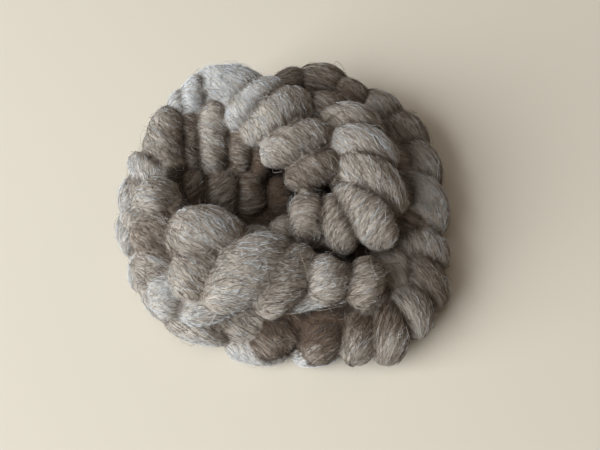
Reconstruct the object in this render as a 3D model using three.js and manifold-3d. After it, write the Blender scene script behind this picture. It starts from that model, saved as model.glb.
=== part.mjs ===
// Wool combed top, chained by hand into a fat plait and coiled into a two-layer nest.
// Millimetres, +Z up, the origin under the middle of the nest on the surface it lies on.
// The whole plait is one length of wool, so it is one solid: every fold of the top that shows is a
// bent, blunt-ended lobe, and the lobes are fused over the cores of the coil's turns.

import * as THREE from "three";
import { mergeVertices } from "three/addons/utils/BufferGeometryUtils.js";
import Module from "manifold-3d";

const wasm = await Module();
wasm.setup();

// Driving dimensions
const SIDES = 8; // faces round a fold
const RINGS = 6; // faces along a fold, end to end
const CORE_SIDES = 8; // faces round a core, which has one ring of them for each station
const CORE_LAP = 1; // stations by which a closed core laps over its own start
const CORE_BLUNT = 4; // how soon a core reaches its full size from its ends
const BLUNT = 0.84; // under 1 a fold stays fat towards its ends
const DROOP = 0.22; // how far a fold's ends sink into the plait, for each mm of half length
const MIDDLE_X = 0.53; // middle of the nest's own box, moved over the origin
const MIDDLE_Y = 0.1;
const FLOOR_CUT = 400; // width of the block that trims the flat underside
const FLOOR_DEPTH = 60; // its depth
const STEPS = 24; // points to a span of a smoothed route
const NEAR = 0.05; // stations to either side that give a route's direction

// Routes of the plait's core: the turn on the surface, the turn on top, which curls into the hollow,
// and the inner turn round the hollow. At each station x, y, z, then half the core's width and depth.
const LOWER_TURN = [
  [80, 0, 20, 20, 21.5],
  [74, 34, 20, 20, 18],
  [54, 60, 21, 20, 22.5],
  [24, 76, 22, 20, 19],
  [-10, 78, 21, 20, 22.5],
  [-44, 68, 20, 20, 18],
  [-68, 45, 20, 20, 21.5],
  [-79, 12, 20, 20, 18],
  [-78, -26, 20, 20, 21.5],
  [-61, -57, 19, 19, 17],
  [-34, -68, 19, 19, 20.5],
  [0, -70, 19, 19, 17],
  [34, -70, 19, 19, 20.5],
  [61, -58, 19, 19, 17],
  [75, -34, 19, 20, 18],
];
const UPPER_TURN = [
  [56, -57, 40, 12, 12],
  [44, -60, 44, 12, 12],
  [22, -59, 48, 13, 15],
  [-10, -55, 52, 15, 18],
  [-42, -42, 54, 16, 20],
  [-66, -26, 50, 16, 18],
  [-77, 0, 48, 15, 17],
  [-72, 30, 48, 15, 17],
  [-56, 50, 50, 15, 18],
  [-34, 56, 52, 16, 19],
  [-6, 48, 52, 16, 19],
  [20, 40, 50, 16, 18],
  [38, 26, 50, 16, 18],
  [45, 2, 49, 15, 17],
  [40, -20, 46, 14, 16],
  [24, -27, 43, 13, 14],
  [2, -31, 40, 11, 13],
  [-18, -33, 36, 10, 12],
];
const INNER_TURN = [
  [-60, -20, 24, 22, 17],
  [-52, 14, 22, 22, 17],
  [-38, 34, 20, 22, 17],
  [-12, 36, 19, 22, 16],
  [12, 32, 19, 22, 16],
  [30, 18, 21, 22, 17],
  [42, -8, 24, 22, 18],
  [32, -34, 24, 22, 18],
  [4, -44, 24, 22, 18],
  [-28, -40, 24, 22, 18],
];

// Folds that show from above, a row each. A: the far crest. B: the right crest, which curls into the
// hollow. C: the near band. D: the hollow's far wall. E: the fingers at the upper left. F: the left
// flank. G: the lower turn's outer row. H: the hollow's floor.
// x, y, z: the fold's middle. turn: its long axis in plan, in degrees from +X. rise: that axis's slope.
// roll: the lean of its crown to the right. long, wide, deep: half its length, width and depth.
const FOLD_COLUMNS = ["name", "x", "y", "z", "turn", "rise", "roll", "long", "wide", "deep"];
const FOLDS = [
  ["A0", -67, 55, 62, 72, 10, -10, 14, 9, 12],
  ["A1", -58, 61, 65, 66, 5, 0, 18, 10, 13],
  ["A2", -35, 67, 68, -8, 0, -5, 29, 15, 14],
  ["A3", -19, 53, 70, 40, 8, 0, 24, 12, 13],
  ["A4", -6, 45, 69, 33, 8, 0, 27, 14, 14],
  ["A5", 8, 26, 66, 24, 5, 5, 25, 13, 13],
  ["A6", 20, 11, 58, 22, 5, 15, 21, 11, 13],
  ["B1", 26, 57, 58, -8, 0, -15, 21, 9, 12],
  ["B2", 44, 44, 61, -18, -8, -5, 23, 12, 13],
  ["B3", 51, 24, 64, -25, -8, 0, 24, 13, 13],
  ["B4", 56, 1, 63, -45, -8, 0, 27, 13, 14],
  ["B5", 50, -21, 61, -54, -5, 0, 25, 14, 14],
  ["B6", 33, -24, 56, -73, 5, 0, 21, 11, 13],
  ["B7", 15, -19, 53, 90, -20, 0, 20, 12, 13],
  ["B8", -1, -28, 46, 48, -10, 0, 15, 9, 12],
  ["B9", -17, -33, 47, 10, -5, 0, 15, 9, 11],
  ["C1", -78, -12, 63, 46, 0, 0, 15, 13, 13],
  ["C2", -74, -33, 60, 11, 0, 0, 19, 12, 13],
  ["C2t", -90, -24, 62, 10, 0, 0, 9, 7, 8],
  ["C3", -76, -48, 50, 22, 0, 0, 16, 12, 12],
  ["C4a", -46, -37, 67, -5, 0, 0, 24, 17, 16],
  ["C4b", -47, -54, 61, 58, 0, 0, 22, 17, 15],
  ["C5", -20, -58, 63, 38, 0, 0, 31, 18, 17],
  ["C6", 1, -62, 58, 54, 6, 0, 25, 14, 15],
  ["C7", 25, -61, 57, 68, 8, 0, 14, 14, 14],
  ["C8", 49, -62, 53, 72, 10, 0, 16, 11, 13],
  ["C9", -69, -67, 46, 95, 20, 0, 16, 12, 13],
  ["C10", -46, -72, 43, 8, 0, 0, 19, 12, 12],
  ["C11", 17, -67, 50, 10, 0, 12, 31, 10, 10],
  ["D0", -77, 14, 40, 80, 20, 0, 13, 9, 11],
  ["D1", -64, 2, 39, 83, 35, 0, 21, 12, 13],
  ["D2", -41, 5, 33, 88, 38, 0, 22, 12, 13],
  ["D3", -23, 4, 28, 92, 42, 0, 22, 11, 12],
  ["D4", -3, 4, 23, 91, 42, 0, 20, 11, 12],
  ["E1", -76, 28, 60, 85, 25, 0, 26, 13, 13],
  ["E2", -61, 34, 56, 90, 25, 0, 23, 9, 12],
  ["E3", -46, 37, 58, 89, 25, 0, 28, 10, 12],
  ["E4", -29, 33, 53, 88, 30, 0, 19, 8, 11],
  ["F1", -85, 9, 55, -52, 0, -15, 20, 10, 12],
  ["F2", -97, 0, 40, 92, 0, -30, 18, 10, 12],
  ["F3", -97, -20, 32, 92, 0, -30, 19, 12, 12],
  ["F5", -86, -42, 28, 66, 0, -20, 18, 12, 13],
  ["G1", 3, 89, 40, 24, 0, 0, 16, 11, 13],
  ["G2", 24, 92, 40, 0, 0, 0, 21, 12, 13],
  ["G3", 45, 82, 38, -30, 0, 0, 17, 10, 13],
  ["G4", 66, 73, 33, -30, -10, 0, 20, 12, 13],
  ["G5", 81, 57, 30, -32, -10, 0, 23, 14, 13],
  ["G6", 92, 34, 27, -62, -5, -10, 23, 13, 13],
  ["G7", 91, 4, 27, -66, -5, -10, 27, 17, 14],
  ["G8", 85, -28, 27, -22, -10, 0, 26, 14, 14],
  ["G9", 87, -49, 24, -49, -8, 0, 24, 14, 14],
  ["G10", 79, -68, 24, -69, -5, -10, 21, 14, 13],
  ["G11", 65, -82, 23, 87, 10, 0, 23, 13, 13],
  ["G12", 45, -83, 23, 88, 10, 0, 22, 13, 13],
  ["G13", 25, -82, 23, 69, 10, 0, 23, 15, 13],
  ["G14", -1, -80, 21, 36, 5, 5, 26, 16, 13],
  ["G15", -27, -76, 23, -12, 0, 15, 26, 13, 13],
  ["G16", -54, -78, 18, -17, 0, 15, 24, 12, 13],
  ["G17", -79, -62, 20, -52, 0, 15, 20, 10, 12],
  ["G18", -17, -90, 11, -6, 0, 10, 21, 12, 10],
  ["G19", 20, -92, 11, 8, 0, 10, 17, 11, 10],
  ["H1", -15, -9, 15, 12, 0, 0, 38, 20, 14],
];

// Rows of folds round the hidden sides of the turns. round: degrees from the top of the turn towards
// its outer side. out: from the core's middle to the fold's. lean: the long axis against the route.
// from and to: the stretch of the route, in stations. pitch: from fold to fold.
const ROW_COLUMNS = ["route", "round", "out", "lean", "long", "wide", "deep", "from", "to", "pitch"];
const SIDE_ROWS = [
  ["lower", 106, 8, 38, 22, 12, 12, 0, 15, 28],
  ["lower", 52, 12, -40, 21, 12, 13, 3.9, 7.4, 22],
  ["lower", -20, 10, 38, 20, 13, 12, 12.6, 16.8, 25],
  ["upper", 88, 8, 38, 18, 11, 12, 4.6, 12.6, 21],
];

const up = new THREE.Vector3(0, 0, 1);
const radians = THREE.MathUtils.degToRad;

// The rows of a table as objects, their values named after its columns
function named(columns, rows) {
  return rows.map((row) => Object.fromEntries(columns.map((name, k) => [name, row[k]])));
}

// Catmull-Rom blend of four neighbouring stations, number by number
function blend(a, b, c, d, t) {
  return b.map((value, k) => {
    const slope = c[k] - a[k];
    const bow = 2 * a[k] - 5 * value + 4 * c[k] - d[k];
    const skew = 3 * value - a[k] - 3 * c[k] + d[k];
    return 0.5 * (2 * value + slope * t + bow * t * t + skew * t * t * t);
  });
}

// A place along a route, counted in stations. A closed route runs round, an open one stops.
function stationAt(route, place) {
  const { stations, closed } = route;
  const count = stations.length;
  const last = count - 1;
  const start = closed ? Math.floor(place) : Math.min(Math.floor(place), last - 1);
  const wrap = (k) => ((k % count) + count) % count;
  const pick = (k) => stations[closed ? wrap(k) : Math.max(0, Math.min(last, k))];
  return blend(pick(start - 1), pick(start), pick(start + 1), pick(start + 2), place - start);
}

// The core's middle at a place, with the route's direction, its outward side, its top and its size
function stop(route, place) {
  const last = route.stations.length - 1;
  const ahead = stationAt(route, route.closed ? place + NEAR : Math.min(place + NEAR, last));
  const behind = stationAt(route, route.closed ? place - NEAR : Math.max(place - NEAR, 0));
  const [x, y, z, wide, deep] = stationAt(route, place);
  const from = new THREE.Vector3().fromArray(behind);
  const along = new THREE.Vector3().fromArray(ahead).sub(from).normalize();
  const outward = new THREE.Vector3().crossVectors(along, up).normalize().multiplyScalar(route.outward);
  const top = new THREE.Vector3().crossVectors(outward, along).multiplyScalar(route.outward);
  return { middle: new THREE.Vector3(x, y, z), along, outward, top, wide, deep };
}

// Places at an even pitch along part of a route
function walk(route, from, to, pitch) {
  const steps = Math.ceil((to - from) * STEPS);
  const travelled = [0];
  for (let k = 1; k <= steps; k += 1) {
    const [x, y, z] = stationAt(route, from + ((to - from) * k) / steps);
    const before = stationAt(route, from + ((to - from) * (k - 1)) / steps);
    travelled.push(travelled[k - 1] + Math.hypot(x - before[0], y - before[1], z - before[2]));
  }
  const length = travelled[steps];
  const loop = route.closed && to - from >= route.stations.length;
  const count = Math.max(1, Math.round(length / pitch));
  return Array.from({ length: loop ? count : count + 1 }, (_, k) => {
    const mark = travelled.findIndex((reached) => reached >= (length * k) / count - 1e-6);
    return from + ((to - from) * mark) / steps;
  });
}

const routes = {
  lower: { stations: LOWER_TURN, closed: true, outward: 1 },
  upper: { stations: UPPER_TURN, closed: false, outward: -1 },
  inner: { stations: INNER_TURN, closed: true, outward: -1 },
};

// A closed solid from a three.js geometry, its shared corners merged
function solidOf(geometry) {
  const bare = geometry.clone();
  bare.deleteAttribute("normal");
  bare.deleteAttribute("uv");
  const merged = mergeVertices(bare, 1e-4);
  const mesh = new wasm.Mesh({
    numProp: 3,
    vertProperties: new Float32Array(merged.attributes.position.array),
    triVerts: new Uint32Array(merged.index.array),
  });
  return new wasm.Manifold(mesh);
}

// One fold of the top: a sphere drawn out along its axis, blunt, its ends sunk below its crown
function fold(middle, along, crown, halfLong, halfWide, halfDeep) {
  const side = new THREE.Vector3().crossVectors(along, crown);
  const geometry = new THREE.SphereGeometry(1, SIDES, RINGS);
  const points = geometry.attributes.position;
  const place = new THREE.Vector3();
  for (let k = 0; k < points.count; k += 1) {
    const reach = points.getY(k);
    const waist = Math.hypot(points.getX(k), points.getZ(k));
    const fat = waist > 1e-6 ? waist ** BLUNT / waist : 0;
    const across = points.getX(k) * fat * halfWide;
    const sink = DROOP * halfLong * reach * reach;
    const lift = points.getZ(k) * fat * halfDeep - sink;
    place.copy(middle).addScaledVector(along, reach * halfLong);
    place.addScaledVector(side, across).addScaledVector(crown, lift);
    points.setXYZ(k, place.x, place.y, place.z);
  }
  return solidOf(geometry);
}

// A fold from its row in the table
function foldFromRow({ x, y, z, turn, rise, roll, long, wide, deep }) {
  const heading = radians(turn);
  const slope = radians(rise);
  const along = new THREE.Vector3(
    Math.cos(heading) * Math.cos(slope),
    Math.sin(heading) * Math.cos(slope),
    Math.sin(slope),
  );
  const upright = up.clone().addScaledVector(along, -along.z).normalize();
  const right = new THREE.Vector3().crossVectors(along, upright);
  const lean = radians(roll);
  const crown = upright.multiplyScalar(Math.cos(lean)).addScaledVector(right, Math.sin(lean));
  return fold(new THREE.Vector3(x, y, z), along, crown, long, wide, deep);
}

// A row of folds along one side of a turn
function sideRow(row) {
  const angle = radians(row.round);
  return walk(routes[row.route], row.from, row.to, row.pitch).map((place) => {
    const { middle, along, outward, top } = stop(routes[row.route], place);
    const crown = outward.multiplyScalar(Math.sin(angle)).addScaledVector(top, Math.cos(angle));
    along.applyAxisAngle(crown, radians(row.lean));
    middle.addScaledVector(crown, row.out);
    return fold(middle, along, crown, row.long, row.wide, row.deep);
  });
}

// The core of a turn, one long blunt lobe that fills the plait's inside along its route
function core(route) {
  const spans = route.closed ? route.stations.length + CORE_LAP : route.stations.length - 1;
  const geometry = new THREE.SphereGeometry(1, CORE_SIDES, spans);
  const points = geometry.attributes.position;
  for (let k = 0; k < points.count; k += 1) {
    const share = Math.acos(Math.max(-1, Math.min(1, -points.getY(k)))) / Math.PI;
    const waist = Math.hypot(points.getX(k), points.getZ(k));
    const fat = waist > 1e-6 ? Math.min(1, waist * CORE_BLUNT) / waist : 0;
    const { middle, outward, top, wide, deep } = stop(route, share * spans);
    const place = middle.addScaledVector(outward, points.getX(k) * fat * wide * route.outward);
    place.addScaledVector(top, points.getZ(k) * fat * deep);
    points.setXYZ(k, place.x, place.y, place.z);
  }
  return solidOf(geometry);
}

// The largest body of a solid alone: pockets that the fused folds close off inside are full of wool
function largestBody(solid) {
  const [largest] = solid.decompose().sort((one, other) => other.volume() - one.volume());
  return largest;
}

// A three.js geometry of a solid
function geometryOf(solid) {
  const { vertProperties, triVerts } = solid.getMesh();
  const geometry = new THREE.BufferGeometry();
  geometry.setAttribute("position", new THREE.BufferAttribute(vertProperties, 3));
  geometry.setIndex([...triVerts]);
  return geometry;
}

// The whole plait, fused and trimmed flat where it lies
function plait() {
  const solids = [
    ...Object.values(routes).map(core),
    ...named(ROW_COLUMNS, SIDE_ROWS).flatMap(sideRow),
    ...named(FOLD_COLUMNS, FOLDS).map(foldFromRow),
  ];
  const fused = wasm.Manifold.union(solids);
  const below = new THREE.BoxGeometry(FLOOR_CUT, FLOOR_CUT, FLOOR_DEPTH).translate(0, 0, -FLOOR_DEPTH / 2);
  const skin = geometryOf(largestBody(fused.subtract(solidOf(below))));
  // Merging its near corners can pinch off a last crumb
  const clean = geometryOf(largestBody(solidOf(skin)));
  return clean.translate(-MIDDLE_X, -MIDDLE_Y, 0);
}

const wool = new THREE.MeshStandardMaterial({ color: 0x8f8478, roughness: 0.95, metalness: 0 });
const woolPlait = new THREE.Mesh(plait(), wool);
woolPlait.name = "wool_plait";

const top = new THREE.Group();
top.add(woolPlait);

export default top;
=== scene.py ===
"""A wool combed top, chained by hand into a fat plait and coiled into a two-layer nest.

The nest is one length of natural grey-brown wool. Its skin is one closed mesh, shaped fold by fold
from the same named sizes as the solid, drawn in where folds meet and filled where they merge. Over the
skin lie the wool's own fibres, combed along each fold, with the loose curls and the short fuzz that
stand off them. Sizes are in millimetres until a mesh takes them.
"""

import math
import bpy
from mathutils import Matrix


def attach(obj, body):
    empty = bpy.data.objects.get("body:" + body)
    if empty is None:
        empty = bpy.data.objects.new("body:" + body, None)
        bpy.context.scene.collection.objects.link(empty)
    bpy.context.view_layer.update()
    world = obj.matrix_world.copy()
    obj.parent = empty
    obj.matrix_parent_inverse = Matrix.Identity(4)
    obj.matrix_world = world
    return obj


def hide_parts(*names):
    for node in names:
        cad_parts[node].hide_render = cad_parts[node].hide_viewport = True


bl_info = {
    "name": "Coiled wool top",
    "version": (1, 0, 0),
    "blender": (4, 5, 0),
    "location": "3D View > Sidebar > Wool",
    "description": "A plaited and coiled wool top with combed fibres, and its studio",
    "category": "Add Mesh",
}

import bpy
import numpy as np

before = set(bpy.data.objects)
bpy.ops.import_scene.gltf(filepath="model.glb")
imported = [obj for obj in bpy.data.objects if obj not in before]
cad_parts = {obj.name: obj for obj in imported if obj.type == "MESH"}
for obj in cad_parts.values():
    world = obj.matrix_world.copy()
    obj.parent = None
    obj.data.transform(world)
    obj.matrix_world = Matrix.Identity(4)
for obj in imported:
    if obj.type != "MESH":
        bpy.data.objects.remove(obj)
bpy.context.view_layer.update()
MM = 0.001

# Driving dimensions, as in the solid
MIDDLE = np.array([0.53, 0.1, 0.0])  # middle of the nest's own box, moved over the origin
BLUNT = 0.84  # under 1 a fold stays fat towards its ends
DROOP = 0.22  # how far a fold's ends sink into the plait, for each mm of half length
CORE_BLUNT = 4  # how soon a core reaches its full size from its ends
SPAN_STEPS = 24  # points to a span of a smoothed route
NEAR = 0.05  # stations to either side that give a route's direction

# Places on and round a fold. Reach runs from -1 to 1 between its ends. Depth is 1 on its surface,
# less inside it and more outside it.
TIP = 0.97  # reach past which a fold is only its blunt end
TIP_STEEP = 8  # how fast depth grows past the tip
HIDDEN = 0.97  # depth in another fold under which wool is hidden
CREASE_START = 1.5  # depth against the next fold at which a crease starts
CREASE_SPAN = 0.55  # how much lower that depth is where the crease is deepest
SOFT_SHADOW = 0.45  # how dark a crease is where two folds merge wholly
SOFT_FILL = 2  # mm by which the wool fills such a crease

# Tones run from 0, the palest shade of fibre, to 4, the darkest
BASE_TONE = 2.1
CREASE_SHADE = 4.3  # painted shade: how much darker the fibres at the bottom of a crease are painted
WISP_SHADE = 1.7  # how much darker a wisp that lies low is painted: partly the wisps' own melange, partly painted shade among the fibres
TONE_SPREAD = 0.6  # from one fibre to the next
RIM_HIGHLIGHT = 1.4  # painted highlight: how much paler the rim along the front is painted, clear of the upper turn's shade
RIM_START = -84  # y at which the rim begins
RIM_WIDTH = 12

# By the first letter of a fold's name or, on the hidden sides, of its route: its part of the nest, and
# how far it merges with its neighbours
KINDS = {
    "A": ("far_crest", 0.25),
    "B": ("hollow_and_right", 0.2),
    "C": ("near_band", 0.65),
    "D": ("hollow_and_right", 0.2),
    "E": ("far_crest", 0.2),
    "F": ("near_band", 0.35),
    "G": ("lower", 0.35),
    "H": ("hollow_and_right", 0.2),
    "l": ("flanks", 0.4),
    "u": ("far_crest", 0.4),
}
FRONT = -40  # y under which a fold of the lower turn is in its front

# Routes of the plait's core. At each station x, y, z, then half the core's width and depth.
LOWER_TURN = [
    [80, 0, 20, 20, 21.5],
    [74, 34, 20, 20, 18],
    [54, 60, 21, 20, 22.5],
    [24, 76, 22, 20, 19],
    [-10, 78, 21, 20, 22.5],
    [-44, 68, 20, 20, 18],
    [-68, 45, 20, 20, 21.5],
    [-79, 12, 20, 20, 18],
    [-78, -26, 20, 20, 21.5],
    [-61, -57, 19, 19, 17],
    [-34, -68, 19, 19, 20.5],
    [0, -70, 19, 19, 17],
    [34, -70, 19, 19, 20.5],
    [61, -58, 19, 19, 17],
    [75, -34, 19, 20, 18],
]
UPPER_TURN = [
    [56, -57, 40, 12, 12],
    [44, -60, 44, 12, 12],
    [22, -59, 48, 13, 15],
    [-10, -55, 52, 15, 18],
    [-42, -42, 54, 16, 20],
    [-66, -26, 50, 16, 18],
    [-77, 0, 48, 15, 17],
    [-72, 30, 48, 15, 17],
    [-56, 50, 50, 15, 18],
    [-34, 56, 52, 16, 19],
    [-6, 48, 52, 16, 19],
    [20, 40, 50, 16, 18],
    [38, 26, 50, 16, 18],
    [45, 2, 49, 15, 17],
    [40, -20, 46, 14, 16],
    [24, -27, 43, 13, 14],
    [2, -31, 40, 11, 13],
    [-18, -33, 36, 10, 12],
]
INNER_TURN = [
    [-60, -20, 24, 22, 17],
    [-52, 14, 22, 22, 17],
    [-38, 34, 20, 22, 17],
    [-12, 36, 19, 22, 16],
    [12, 32, 19, 22, 16],
    [30, 18, 21, 22, 17],
    [42, -8, 24, 22, 18],
    [32, -34, 24, 22, 18],
    [4, -44, 24, 22, 18],
    [-28, -40, 24, 22, 18],
]
# stations, whether the turn closes on itself, and the side that its outward direction lies on
ROUTES = {
    "lower": (LOWER_TURN, True, 1),
    "upper": (UPPER_TURN, False, -1),
    "inner": (INNER_TURN, True, -1),
}

# Folds that show from above, a row each, as in the solid. A: the far crest. B: the right crest, which
# curls into the hollow. C: the near band. D: the hollow's far wall. E: the fingers at the upper left.
# F: the left flank. G: the lower turn's outer row. H: the hollow's floor. E5 is small and half hidden,
# so it is here alone. Each row has the fold's middle x, y, z, then its turn, rise and roll, then its
# half length, width and depth. Last come the angle of its fibres in plan over its crown, in degrees
# from +X, and how much browner they are: partly the wool's own tone, partly painted shade on folds
# that lie in shade, such as the hollow's and those under the upper turn, and painted highlight below
# 0, on folds that face the light.
FOLDS = [
    ["A0", -67, 55, 62, 72, 10, -10, 14, 9, 12, 20, -0.9],
    ["A1", -58, 61, 65, 66, 5, 0, 18, 10, 13, -10, -1.5],
    ["A2", -35, 67, 68, -8, 0, -5, 29, 15, 14, -32, -1.6],
    ["A3", -19, 53, 70, 40, 8, 0, 24, 12, 13, -45, -1.2],
    ["A4", -6, 45, 69, 33, 8, 0, 27, 14, 14, -57, -0.1],
    ["A5", 8, 26, 66, 24, 5, 5, 25, 13, 13, -37, 0.2],
    ["A6", 20, 11, 58, 22, 5, 15, 21, 11, 13, -47, 1.2],
    ["B1", 26, 57, 58, -8, 0, -15, 21, 9, 12, -35, 1.1],
    ["B2", 44, 44, 61, -18, -8, -5, 23, 12, 13, -37, 0.2],
    ["B3", 51, 24, 64, -25, -8, 0, 24, 13, 13, -42, -0.7],
    ["B4", 56, 1, 63, -45, -8, 0, 27, 13, 14, -60, 0.1],
    ["B5", 50, -21, 61, -54, -5, 0, 25, 14, 14, 47, 0.2],
    ["B6", 33, -24, 56, -73, 5, 0, 21, 11, 13, 42, 0.7],
    ["B7", 15, -19, 53, 90, -20, 0, 20, 12, 13, -6, 0.6],
    ["B8", -1, -28, 46, 48, -10, 0, 15, 9, 12, -20, 0.8],
    ["B9", -17, -33, 47, 10, -5, 0, 15, 9, 11, -30, 0],
    ["C1", -78, -12, 63, 46, 0, 0, 15, 13, 13, -25, 0.1],
    ["C2", -74, -33, 60, 11, 0, 0, 19, 12, 13, -40, 0.9],
    ["C2t", -90, -24, 62, 10, 0, 0, 9, 7, 8, 50, -0.8],
    ["C3", -76, -48, 50, 22, 0, 0, 16, 12, 12, -25, 0.4],
    ["C4a", -46, -37, 67, -5, 0, 0, 24, 17, 16, -37, -0.2],
    ["C4b", -47, -54, 61, 58, 0, 0, 22, 17, 15, -35, 0.1],
    ["C5", -20, -58, 63, 38, 0, 0, 31, 18, 17, 2, -0.2],
    ["C6", 1, -62, 58, 54, 6, 0, 25, 14, 15, 8, 0.5],
    ["C7", 25, -61, 57, 68, 8, 0, 14, 14, 14, 10, 0.2],
    ["C8", 49, -62, 53, 72, 10, 0, 16, 11, 13, 15, 0.9],
    ["C9", -69, -67, 46, 95, 20, 0, 16, 12, 13, 0, -1],
    ["C10", -46, -72, 43, 8, 0, 0, 19, 12, 12, 20, -1],
    ["C11", 17, -67, 50, 10, 0, 12, 31, 10, 10, 12, -0.6],
    ["D0", -77, 14, 40, 80, 20, 0, 13, 9, 11, 40, 1.1],
    ["D1", -64, 2, 39, 83, 35, 0, 21, 12, 13, 35, 1.1],
    ["D2", -41, 5, 33, 88, 38, 0, 22, 12, 13, 30, 1.3],
    ["D3", -23, 4, 28, 92, 42, 0, 22, 11, 12, 5, 1.8],
    ["D4", -3, 4, 23, 91, 42, 0, 20, 11, 12, 0, 2.6],
    ["E1", -76, 28, 60, 85, 25, 0, 26, 13, 13, -37, 0.3],
    ["E2", -61, 34, 56, 90, 25, 0, 23, 9, 12, -25, 1.1],
    ["E3", -46, 37, 58, 89, 25, 0, 28, 10, 12, -20, 0.3],
    ["E4", -29, 33, 53, 88, 30, 0, 19, 8, 11, -10, 1.5],
    ["E5", -15, 30, 46, 86, 32, 0, 18, 8, 11, -10, 2.4],
    ["F1", -85, 9, 55, -52, 0, -15, 20, 10, 12, -75, -0.6],
    ["F2", -97, 0, 40, 92, 0, -30, 18, 10, 12, 60, -0.8],
    ["F3", -97, -20, 32, 92, 0, -30, 19, 12, 12, 55, -0.6],
    ["F5", -86, -42, 28, 66, 0, -20, 18, 12, 13, 30, -0.4],
    ["G1", 3, 89, 40, 24, 0, 0, 16, 11, 13, 0, 1.6],
    ["G2", 24, 92, 40, 0, 0, 0, 21, 12, 13, -20, 1.5],
    ["G3", 45, 82, 38, -30, 0, 0, 17, 10, 13, -40, 1.6],
    ["G4", 66, 73, 33, -30, -10, 0, 20, 12, 13, -47, 0.6],
    ["G5", 81, 57, 30, -32, -10, 0, 23, 14, 13, -55, 0.8],
    ["G6", 92, 34, 27, -62, -5, -10, 23, 13, 13, -50, 0.2],
    ["G7", 91, 4, 27, -66, -5, -10, 27, 17, 14, -52, -0.5],
    ["G8", 85, -28, 27, -22, -10, 0, 26, 14, 14, -66, 0.4],
    ["G9", 87, -49, 24, -49, -8, 0, 24, 14, 14, -52, 0.9],
    ["G10", 79, -68, 24, -69, -5, -10, 21, 14, 13, -62, 0.3],
    ["G11", 65, -82, 23, 87, 10, 0, 23, 13, 13, 66, 2],
    ["G12", 45, -83, 23, 88, 10, 0, 22, 13, 13, 55, 2.1],
    ["G13", 25, -82, 23, 69, 10, 0, 23, 15, 13, 30, 3.1],
    ["G14", -1, -80, 21, 36, 5, 5, 26, 16, 13, -42, 2.7],
    ["G15", -27, -76, 23, -12, 0, 15, 26, 13, 13, -32, 0.2],
    ["G16", -54, -78, 18, -17, 0, 15, 24, 12, 13, -40, -0.1],
    ["G17", -79, -62, 20, -52, 0, 15, 20, 10, 12, -75, -0.3],
    ["G18", -17, -90, 11, -6, 0, 10, 21, 12, 10, -50, -0.3],
    ["G19", 20, -92, 11, 8, 0, 10, 17, 11, 10, 30, 0],
    ["H1", -15, -9, 15, 12, 0, 0, 38, 20, 14, -30, 3],
]
# Rows of folds round the hidden sides: the route, round, out, lean, half length, width and depth,
# from, to and pitch, as in the solid, then the angle of the fibres against each fold's long axis,
# and how much browner they are.
SIDE_ROWS = [
    ["lower", 106, 8, 38, 22, 12, 12, 0, 15, 28, -35, 0.2],
    ["lower", 52, 12, -40, 21, 12, 13, 3.9, 7.4, 22, 35, 0.2],
    ["lower", -20, 10, 38, 20, 13, 12, 12.6, 16.8, 25, -35, 0.7],
    ["upper", 88, 8, 38, 18, 11, 12, 4.6, 12.6, 21, -35, 0.2],
]

# Lumps and wisps raised on a fold: their pitch across and along the fibres, their share of the wisp
# height, and the seed of their noise
RELIEF = [
    [9, 13, 1.1, 10],
    [4.2, 26, 0.7, 11],
    [1.9, 18, 0.4, 12],
]


def blend(a, b, c, d, t):
    """Catmull-Rom blend of four neighbouring stations."""
    slope = c - a
    bow = 2 * a - 5 * b + 4 * c - d
    skew = 3 * b - a - 3 * c + d
    return 0.5 * (2 * b + slope * t + bow * t * t + skew * t * t * t)


def station_at(route, place):
    """The numbers at a place along a route, counted in stations."""
    stations, closed, _ = ROUTES[route]
    stations = np.array(stations, float)
    last = len(stations) - 1
    start = math.floor(place) if closed else min(math.floor(place), last - 1)
    picks = [start - 1, start, start + 1, start + 2]
    picks = [k % len(stations) if closed else min(max(k, 0), last) for k in picks]
    return blend(*stations[picks], place - start)


def unit(vectors):
    """The same directions with a length of one."""
    return vectors / np.maximum(np.linalg.norm(vectors, axis=-1, keepdims=True), 1e-9)


def stop(route, place):
    """The core's middle at a place, its direction, outward side, top, and half width and depth."""
    stations, closed, outward_sign = ROUTES[route]
    last = len(stations) - 1
    ahead = station_at(route, place + NEAR if closed else min(place + NEAR, last))
    behind = station_at(route, place - NEAR if closed else max(place - NEAR, 0))
    here = station_at(route, place)
    along = unit(ahead[:3] - behind[:3])
    outward = unit(np.cross(along, [0, 0, 1])) * outward_sign
    top = np.cross(outward, along) * outward_sign
    return here[:3], along, outward, top, here[3], here[4]


def walk(route, start, end, pitch):
    """Places at an even pitch along part of a route."""
    stations, closed, _ = ROUTES[route]
    steps = math.ceil((end - start) * SPAN_STEPS)
    marks = start + (end - start) * np.arange(steps + 1) / steps
    points = np.array([station_at(route, mark)[:3] for mark in marks])
    travelled = np.concatenate([[0], np.cumsum(np.linalg.norm(np.diff(points, axis=0), axis=1))])
    count = max(1, math.floor(travelled[-1] / pitch + 0.5))
    whole = closed and end - start >= len(stations)
    wanted = travelled[-1] * np.arange(count if whole else count + 1) / count
    return [marks[np.argmax(travelled >= want - 1e-6)] for want in wanted]


def turned(vector, axis, degrees):
    """A vector turned about a unit axis."""
    angle = math.radians(degrees)
    across = np.cross(axis, vector)
    held = axis * (axis @ vector) * (1 - math.cos(angle))
    return vector * math.cos(angle) + across * math.sin(angle) + held


def lattice(x, y, seed):
    """A fixed number from 0 to 1 for each whole place on a grid, from large odd factors."""
    low_bits = 0xFFFFFFFF
    mixed = (x.astype(np.int64) * 374761393 + y.astype(np.int64) * 668265263 + seed * 974711) & low_bits
    mixed = ((mixed ^ (mixed >> 13)) * 1274126177) & low_bits
    return ((mixed ^ (mixed >> 16)) & 0xFFFF) / 0xFFFF


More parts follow.
